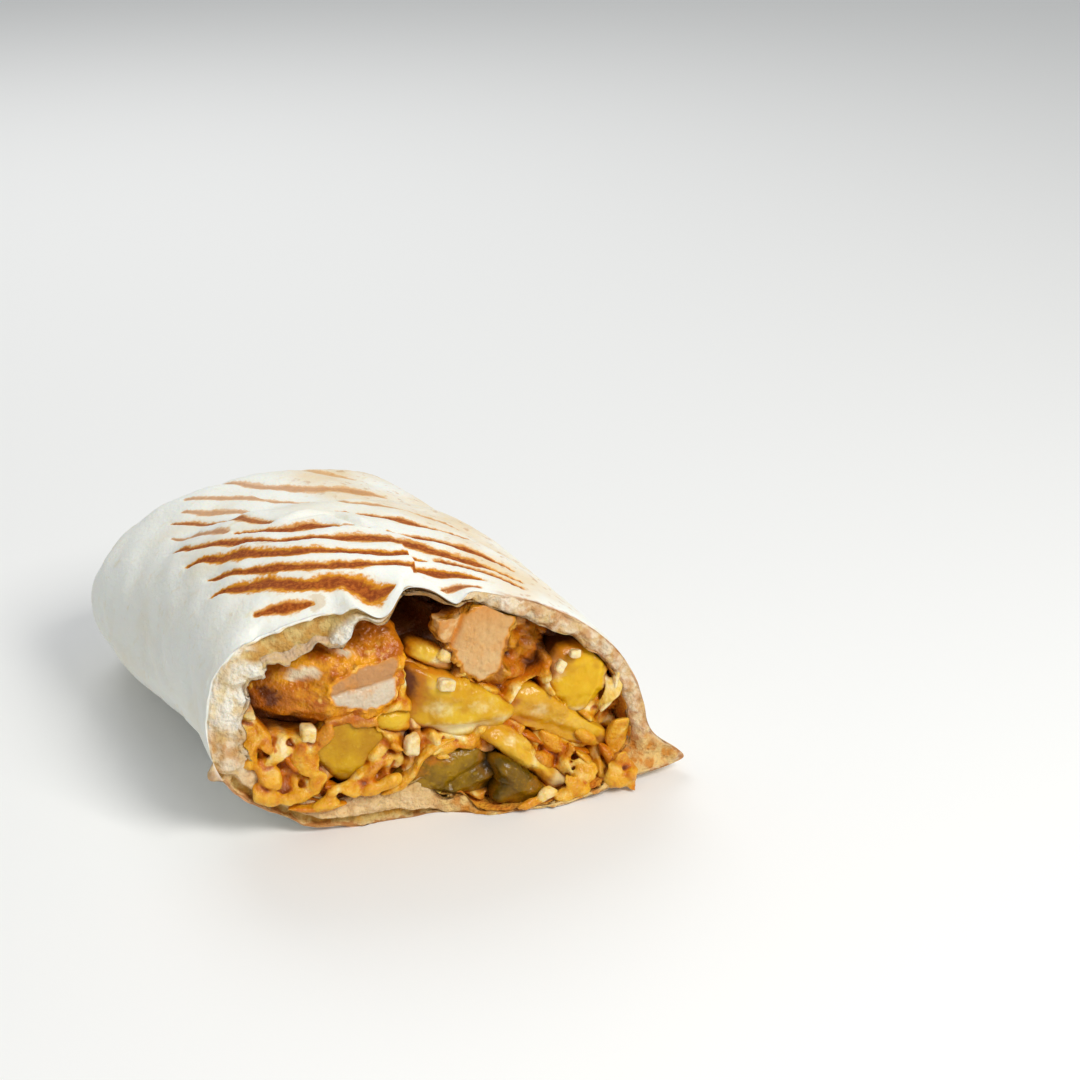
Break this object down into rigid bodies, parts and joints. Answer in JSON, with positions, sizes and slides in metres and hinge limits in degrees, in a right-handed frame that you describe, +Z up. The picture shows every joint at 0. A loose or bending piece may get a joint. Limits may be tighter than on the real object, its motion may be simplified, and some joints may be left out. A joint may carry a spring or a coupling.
{
  "type": "shish taouk wrap half",
  "caption": "Cut half of a grilled chicken flatbread wrap lying on its side, with chicken, potato, pickle and sauced shreds showing at the cut.",
  "frame": {"origin": "middle of the underside of the bounding box, on the surface that the wrap lies on", "axes": "+X to the right along the cut face, +Y back along the length to the folded end, +Z up"},
  "size_m": [0.0898, 0.1152, 0.048],
  "materials": {
    "flatbread": "soft matt baked surface, toasted brown in stripes",
    "filling": "wet orange sauce over pale shreds",
    "chicken": "browned outside, pale fibrous cut face",
    "potato": "moist yellow",
    "pickle": "wet olive green"
  },
  "bodies": {
    "root": {"flatbread": "flatbread", "filling_heap": "filling", "chicken_left": "chicken", "chicken_right": "chicken", "potato_1": "potato", "potato_2": "potato", "potato_3": "potato", "potato_4": "potato", "potato_5": "potato", "potato_6": "potato", "pickle_1": "pickle", "pickle_2": "pickle", "pickle_3": "pickle"}
  },
  "joints": []
}
